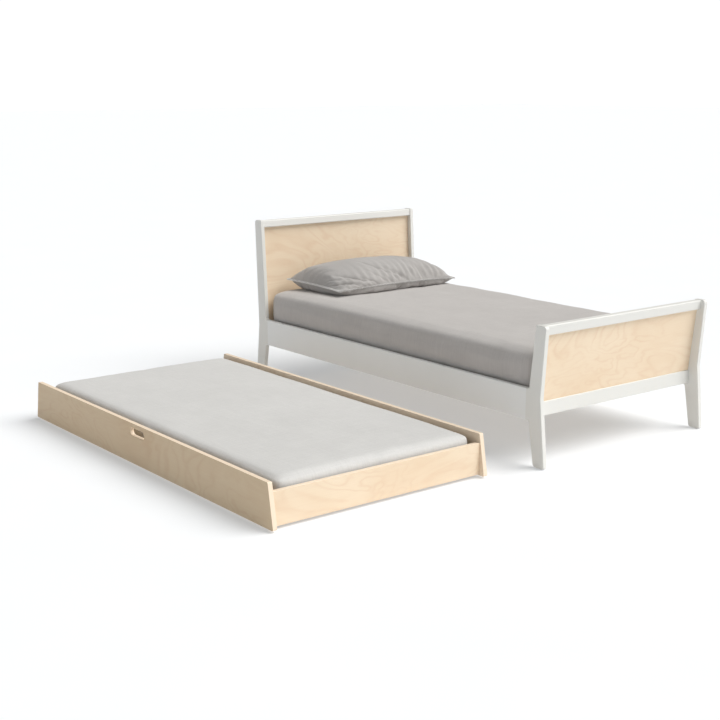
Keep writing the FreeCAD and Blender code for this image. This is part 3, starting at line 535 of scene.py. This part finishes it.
def mattress(name, node, body, cloth, seed, sag, depth, softening, tuck):
    """A mattress in a fitted sheet: plump top, soft rims, and shallow pulls in the cloth.

    seed picks the folds and depth is their size; sag lowers the top's near edge; softening rounds
    the rims; tuck draws the near side in towards its top.
    """
    low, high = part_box(node)
    item = copy_of_node(node, name)
    remesh(item, COVER_CELL)
    smooth(item, softening)
    plump(item)
    subdivide(item)
    middle = (low + high) / 2
    half = (high - low) / 2
    points = points_of(item)
    across = np.clip(np.abs(points[:, 0] - middle.x) / half.x, 0, 1)
    along = np.clip(np.abs(points[:, 1] - middle.y) / half.y, 0, 1)
    rise = np.clip((points[:, 2] - low.z) / (high.z - low.z), 0, 1)
    fold = np.array([wrinkle_field(p, BROAD_FOLDS, seed) for p in points])
    fine = np.array([wrinkle_field(p, FINE_FOLDS, seed + 4.0) for p in points])
    top = np.clip((rise - RIM) / (1 - RIM), 0, 1)
    points[:, 2] += top * (fold * depth + fine * depth * 0.45)
    from_near = np.clip(1 - (points[:, 1] - low.y) / SAG_REACH, 0, 1)
    points[:, 2] -= top * (sag * from_near ** 2 + CORNER_DROP * (across ** 4 + along ** 4))
    near = np.clip(1 - (points[:, 1] - low.y) / TUCK_REACH, 0, 1)
    points[:, 1] += tuck * near * np.clip((rise - 0.25) / 0.6, 0, 1)
    # the sides move straight out or in, except at their foot
    side = np.clip(1.0 - top, 0, 1) * np.clip(rise * 6, 0, 1)
    out = np.stack([points[:, 0] - middle.x, points[:, 1] - middle.y], axis=1)
    face_x = (across > along * 0.985).astype(float)
    out = np.sign(out) * np.stack([face_x, 1 - face_x], axis=1)
    points[:, :2] += out * (side * (fold * 0.6 + fine * 0.9) * depth)[:, None]
    points[:, 2] = np.maximum(points[:, 2], low.z)
    for k in (0, 1):
        points[:, k] = np.clip(points[:, k], low[k] - COVER_REACH, high[k] + COVER_REACH)
    set_points(item, points)
    shade_smooth(item)
    item.data.materials.append(cloth)
    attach(item, body)
    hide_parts(node)


# ---------------------------------------------------------------- pillow

# metres: the cut of the case, along and across the bed, and its cells each way
PILLOW_CUT = (0.486, 0.862)
PILLOW_CELLS = (44, 78)
MATTRESS_TOP = 0.4845
PILLOW_VOLUME = 0.0365
DRAWN_BY, SETTLED_BY = 14, 36

# corners of the sewn seam, with y measured from the middle of the mattress
BACK_NEAR, BACK_FAR = Vector((-0.957, -0.392, 0.541)), Vector((-0.950, 0.428, 0.530))
FRONT_NEAR, FRONT_FAR = Vector((-0.556, -0.345, 0.520)), Vector((-0.550, 0.440, 0.519))

# how far the seam's sides bow in between its corners, and how far its front lifts
SIDE_BOW = 0.010
END_BOW = 0.016
FRONT_LIFT = 0.007

# what keeps the two layers of the flat case apart before it is filled
SACK_BULGE = 0.012

# the filling's slide towards the near end, and how the cloth falls away from the seam there
SLIDE = 0.040
END_SLOPE = 0.40
END_BLEND = 0.008

PUCKER_REACH = 0.030
PUCKER_PITCH = 0.041
PUCKER_DEPTH = 0.0042
PUCKER_SWAY = 0.020
PUCKER_FROM = 0.522

EDGE_RADIUS = 0.0019
STITCH_PITCH = 0.0095
STITCH_RADIUS = 0.0038
THREAD_RADIUS = 0.0016
STITCH_SLANT = 0.0070
STITCH_TURN = 2.3


def rim_places(nx, ny):
    """Grid places round the edge of the sack, in order."""
    around = [(i, 0) for i in range(nx)]
    around += [(nx, j) for j in range(ny)]
    around += [(i, ny) for i in range(nx, 0, -1)]
    around += [(0, j) for j in range(ny, 0, -1)]
    return around


def seam_surface(u, v, middle_y):
    """A point of the sheet that spans the seam, u from back to front and v from near to far."""
    back = BACK_NEAR.lerp(BACK_FAR, (v + 1) / 2)
    front = FRONT_NEAR.lerp(FRONT_FAR, (v + 1) / 2)
    spot = back.lerp(front, (u + 1) / 2)
    spot.x -= u * SIDE_BOW * (1 - v * v)
    spot.y += middle_y - v * END_BOW * (1 - u * u)
    spot.z += FRONT_LIFT * (1 - v * v) * max(u, 0)
    return spot


def pillow_sack():
    """Two flat layers of cloth sewn together all round, with a key that draws the seam in."""
    nx, ny = PILLOW_CELLS
    low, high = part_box("bed_mattress")
    middle_y = (low.y + high.y) / 2
    centre = seam_surface(0, 0, middle_y)
    made = bmesh.new()
    grid, drawn = {}, []
    for layer in (0, 1):
        for i in range(nx + 1):
            for j in range(ny + 1):
                if layer and (i in (0, nx) or j in (0, ny)):
                    grid[1, i, j] = grid[0, i, j]
                    continue
                u, v = i / nx * 2 - 1, j / ny * 2 - 1
                side = 1 if layer else -1
                bulge = Vector((0, 0, SACK_BULGE * (1 - u ** 4) * (1 - v ** 4) * side))
                flat = Vector((u * PILLOW_CUT[0] / 2, v * PILLOW_CUT[1] / 2, 0))
                grid[layer, i, j] = made.verts.new(centre + flat + bulge)
                drawn.append(seam_surface(u, v, middle_y) + bulge)
    for layer in (0, 1):
        for i in range(nx):
            for j in range(ny):
                corners = [grid[layer, i, j], grid[layer, i + 1, j],
                           grid[layer, i + 1, j + 1], grid[layer, i, j + 1]]
                made.faces.new(corners if layer else corners[::-1])
    made.verts.index_update()
    seam = [grid[0, i, j].index for i, j in rim_places(nx, ny)]
    mesh = bpy.data.meshes.new("pillow")
    made.to_mesh(mesh)
    made.free()
    item = put("pillow_case", mesh)
    item.shape_key_add(name="cut")
    key = item.shape_key_add(name="drawn_in")
    key.data.foreach_set("co", np.array(drawn, np.float32).ravel())
    for frame_number, value in ((1, 0.0), (DRAWN_BY, 1.0)):
        key.value = value
        key.keyframe_insert("value", frame=frame_number)
    return item, seam


def resting_plane(height):
    """A plane for the pillow to settle on while it is simulated."""
    mesh = bpy.data.meshes.new("rest")
    x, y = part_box("bed_mattress")[0].x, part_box("bed_mattress")[0].y
    mesh.from_pydata([(x - 1, y - 1, height), (x + 3, y - 1, height), (x + 3, y + 3, height),
                      (x - 1, y + 3, height)], [], [(0, 1, 2, 3)])
    item = put("rest", mesh)
    item.modifiers.new("collision", "COLLISION")
    item.collision.thickness_outer = 0.002
    item.collision.cloth_friction = 12
    return item


def settle_pillow(item, seam):
    """Blow the sack up to the volume of its filling and let it settle on the mattress."""
    held = item.vertex_groups.new(name="seam")
    held.add(seam, 1.0, "REPLACE")
    plane = resting_plane(MATTRESS_TOP - 0.001)
    change = item.modifiers.new("cloth", "CLOTH")
    cloth = change.settings
    cloth.quality = 6
    cloth.mass = 0.25
    cloth.tension_stiffness = 40
    cloth.compression_stiffness = 30
    cloth.shear_stiffness = 15
    cloth.bending_stiffness = 0.35
    cloth.air_damping = 4
    cloth.use_pressure = True
    cloth.use_pressure_volume = True
    cloth.target_volume = PILLOW_VOLUME
    cloth.uniform_pressure_force = 0.0
    cloth.pressure_factor = 300.0
    cloth.vertex_group_mass = "seam"
    change.collision_settings.use_collision = True
    change.collision_settings.distance_min = 0.002
    change.collision_settings.collision_quality = 2
    run_cloth(item, change, SETTLED_BY)
    bpy.data.objects.remove(plane)


def soft_max(first, second, blend):
    """The larger of two values, easing from one to the other over a short range."""
    return 0.5 * (first + second + np.sqrt((first - second) ** 2 + blend ** 2) - blend)


def slide_filling(points, seam):
    """The filling has slid towards the near end of the case; the seam stays where it is."""
    rim = points[seam]
    low, high = rim.min(axis=0), rim.max(axis=0)
    u = np.clip((points[:, 0] - low[0]) / (high[0] - low[0]), 0, 1) * 2 - 1
    v = np.clip((points[:, 1] - low[1]) / (high[1] - low[1]), 0, 1) * 2 - 1
    points[:, 1] -= SLIDE * (1 - v * v) * (1 - u ** 4)
    # at both ends the seam stays the outermost line, with the cloth falling away above and below it
    cells = PILLOW_CELLS[0] + 1
    ends = ((rim[:cells], 1), (rim[sum(PILLOW_CELLS):][:cells][::-1], -1))
    for end, inward in ends:
        seam_y = np.interp(points[:, 0], end[:, 0], end[:, 1])
        seam_z = np.interp(points[:, 0], end[:, 0], end[:, 2])
        wedge = inward * seam_y + END_SLOPE * np.abs(points[:, 2] - seam_z)
        points[:, 1] = inward * soft_max(inward * points[:, 1], wedge, END_BLEND)
    points[:, 2] = np.maximum(points[:, 2], MATTRESS_TOP)
    return points


def pucker(points, rim):
    """Short folds in the upper cloth where it's gathered along the front seam and the near one."""
    low, high = rim.min(axis=0), rim.max(axis=0)
    front = np.interp(points[:, 1], (low[1], high[1]), (FRONT_NEAR.x, FRONT_FAR.x))
    inward = np.clip(front - points[:, 0], 0, None)
    reach = (inward / PUCKER_REACH) * np.exp(1 - inward / PUCKER_REACH)
    ends = np.clip((points[:, 1] - low[1]) / 0.10, 0, 1)
    ends *= np.clip((high[1] - points[:, 1]) / 0.05, 0, 1)
    upper = np.clip((points[:, 2] - PUCKER_FROM) / 0.012, 0, 1)
    bend = np.array([noise.noise(Vector((p[1] * 7.0, 3.1, p[0] * 2.5))) for p in points])
    size = np.array([noise.noise(Vector((p[1] * 11.0, 8.7, 0.5))) for p in points])
    wave = np.cos((points[:, 1] + bend * PUCKER_SWAY) * math.tau / PUCKER_PITCH)
    points[:, 2] += PUCKER_DEPTH * wave * reach * ends * upper * np.clip(0.65 + size, 0.15, 1.3)
    return points


def ring_round(centre, tangent, out, radius, thick, slant, start, stop, steps=9, sides=5):
    """Points and faces of one stitch: a thread bent round the edge of the cloth."""
    up = tangent.cross(out).normalized()
    points, faces = [], []
    for step in range(steps + 1):
        angle = start + (stop - start) * step / steps
        lead = tangent * slant * (step / steps - 0.5)
        outward = out * math.cos(angle) + up * math.sin(angle)
        spot = centre + outward * radius + lead
        for side in range(sides):
            turn = math.tau * side / sides
            around = outward * math.cos(turn) + tangent * math.sin(turn)
            points.append(spot + around * thick)
    for step in range(steps):
        for side in range(sides):
            a = step * sides + side
            b = step * sides + (side + 1) % sides
            faces.append((a, b, b + sides, a + sides))
    faces.append(tuple(range(sides))[::-1])
    faces.append(tuple(range(steps * sides, steps * sides + sides)))
    return points, faces


def even_points(line, pitch):
    """Points at an even pitch round a closed line, each with the line's direction there."""
    loop = np.array([list(p) for p in line] + [list(line[0])])
    length = np.concatenate([[0], np.cumsum(np.linalg.norm(np.diff(loop, axis=0), axis=1))])
    count = int(length[-1] / pitch)
    at = np.arange(count) / count * length[-1]
    spots = np.stack([np.interp(at, length, loop[:, k]) for k in range(3)], axis=1)
    ways = np.roll(spots, -1, axis=0) - np.roll(spots, 1, axis=0)
    ways /= np.linalg.norm(ways, axis=1, keepdims=True)
    return spots, ways


def whip_stitches(spots, ways, middle, thread):
    """Stitches over the seam, each a short ring of thread."""
    points, faces = [], []
    for spot, way in zip(spots, ways):
        spot, way = Vector(spot), Vector(way)
        out = spot - middle
        out.z = 0
        out = (out - way * out.dot(way)).normalized()
        more, rings = ring_round(spot, way, out, STITCH_RADIUS, THREAD_RADIUS, STITCH_SLANT,
                                 -STITCH_TURN, STITCH_TURN)
        faces += [tuple(k + len(points) for k in face) for face in rings]
        points += more
    mesh = bpy.data.meshes.new("pillow_stitches")
    mesh.from_pydata(points, [], faces)
    item = put("pillow_stitches", mesh)
    item.data.materials.append(thread)
    shade_smooth(item)
    return item


def corded_edge(spots, cloth):
    """The round edge of cloth that the stitches go over."""
    curve = bpy.data.curves.new("edge", "CURVE")
    curve.dimensions = "3D"
    curve.bevel_depth = EDGE_RADIUS
    curve.bevel_resolution = 3
    spline = curve.splines.new("POLY")
    spline.points.add(len(spots) - 1)
    weighted = np.concatenate([spots, np.ones((len(spots), 1))], axis=1)
    spline.points.foreach_set("co", weighted.ravel())
    spline.use_cyclic_u = True
    cord = put("edge", curve)
    graph = bpy.context.evaluated_depsgraph_get()
    mesh = bpy.data.meshes.new_from_object(cord.evaluated_get(graph))
    bpy.data.objects.remove(cord)
    edge = put("pillow_edge", mesh)
    edge.data.materials.clear()
    edge.data.materials.append(cloth)
    shade_smooth(edge)
    return edge


def pillow(cloth, thread):
    """The pillow: a filled case, its corded edge and its stitches."""
    item, seam = pillow_sack()
    settle_pillow(item, seam)
    points = points_of(item)
    line = [Vector(points[k]) for k in seam]
    middle = sum(line, Vector()) / len(line)
    set_points(item, slide_filling(points, seam))
    subdivide(item)
    set_points(item, pucker(points_of(item), points[seam]))
    shade_smooth(item)
    item.data.materials.append(cloth)
    spots, ways = even_points(line, STITCH_PITCH)
    stitches = whip_stitches(spots, ways, middle, thread)
    edge = corded_edge(spots, cloth)
    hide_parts("pillow")
    for piece in (item, edge, stitches):
        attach(piece, "bed")


# ---------------------------------------------------------------- stage


def studio():
    """The floor, out to the horizon."""
    size = 60.0
    mesh = bpy.data.meshes.new("floor")
    mesh.from_pydata([(-size, -size, 0), (size, -size, 0), (size, size, 0), (-size, size, 0)], [],
                     [(0, 1, 2, 3)])
    floor = put("floor", mesh)
    floor.data.materials.append(pale_floor())


# name, strength, apparent size in degrees, the side it comes from, colour
SUNS = (("key", 3.75, 55, (0.40, 0.45, 0.80), (1.0, 0.995, 0.975)),
        ("fill", 0.34, 70, (-0.15, -0.90, 0.22), (0.88, 0.95, 1.0)))


def lights():
    """A band of white round the horizon under a dim room, one broad light and a weak fill."""
    world = bpy.data.worlds.new("studio")
    bpy.context.scene.world = world
    world.use_nodes = True
    tree = world.node_tree
    coords = add(tree, "ShaderNodeTexCoord")
    parts = add(tree, "ShaderNodeSeparateXYZ", {"Vector": coords.outputs["Generated"]})
    # white up to a sine of 0.11 above the horizon, fading out by 0.22
    low_band = spread(tree, parts.outputs["Z"], 0.11, 0.22, 0.94, 0.0)
    # the band is brightest beyond the beds, as seen from the camera
    across = math_of(tree, "MULTIPLY", parts.outputs["X"], -0.79)
    far_side = math_of(tree, "MULTIPLY_ADD", parts.outputs["Y"], 0.62, across)
    far_side = spread(tree, far_side, -0.4, 0.3, 0.85, 1.0)
    glow = math_of(tree, "MULTIPLY_ADD", low_band, far_side, 0.11)
    tree.links.new(glow, tree.nodes["Background"].inputs["Strength"])
    tree.nodes["Background"].inputs["Color"].default_value = (1, 1, 1, 1)
    for name, energy, angle, source, tint in SUNS:
        data = bpy.data.lights.new(name, "SUN")
        data.energy = energy
        data.angle = math.radians(angle)
        data.color = tint
        light = put(name, data)
        light.rotation_euler = Vector(source).to_track_quat("Z", "Y").to_euler()
    bpy.context.scene.view_settings.view_transform = "Standard"


# metres, degrees, and millimetres for the lens
AIM_HEIGHT = 0.30
VIEW_AZIMUTH, VIEW_ELEVATION = 52.0, 12.5
VIEW_DISTANCE = 5.9
LENS = 63.0


def camera():
    """A long lens from beyond the foot, on the trundle's side, a little above the beds."""
    data = bpy.data.cameras.new("camera")
    made = put("camera", data)
    low, high = cad_box
    middle = (low + high) / 2
    aim = Vector((middle.x, middle.y, AIM_HEIGHT))
    azimuth, elevation = math.radians(VIEW_AZIMUTH), math.radians(VIEW_ELEVATION)
    level = math.cos(elevation)
    back = Vector((math.sin(azimuth) * level, -math.cos(azimuth) * level, math.sin(elevation)))
    made.location = aim + back * VIEW_DISTANCE
    made.rotation_euler = (-back).to_track_quat("-Z", "Y").to_euler()
    data.sensor_width = 36.0
    data.lens = LENS
    bpy.context.scene.camera = made


camera()
studio()
lights()
dress_cad()
bed_cloth = woven_cloth("bed_sheet", BED_SHEET)
trundle_cloth = woven_cloth("trundle_sheet", TRUNDLE_SHEET)
mattress("bed_mattress_cover", "bed_mattress", "bed", bed_cloth,
         seed=1.3, sag=0.006, depth=0.0034, softening=24, tuck=0.0)
mattress("trundle_mattress_cover", "trundle_mattress", "trundle", trundle_cloth,
         seed=7.9, sag=0.002, depth=0.0016, softening=9, tuck=0.010)
pillow(woven_cloth("pillow_cloth", PILLOW_CASE, slub=0.7),
       thread_cotton("pillow_thread", PILLOW_THREAD))
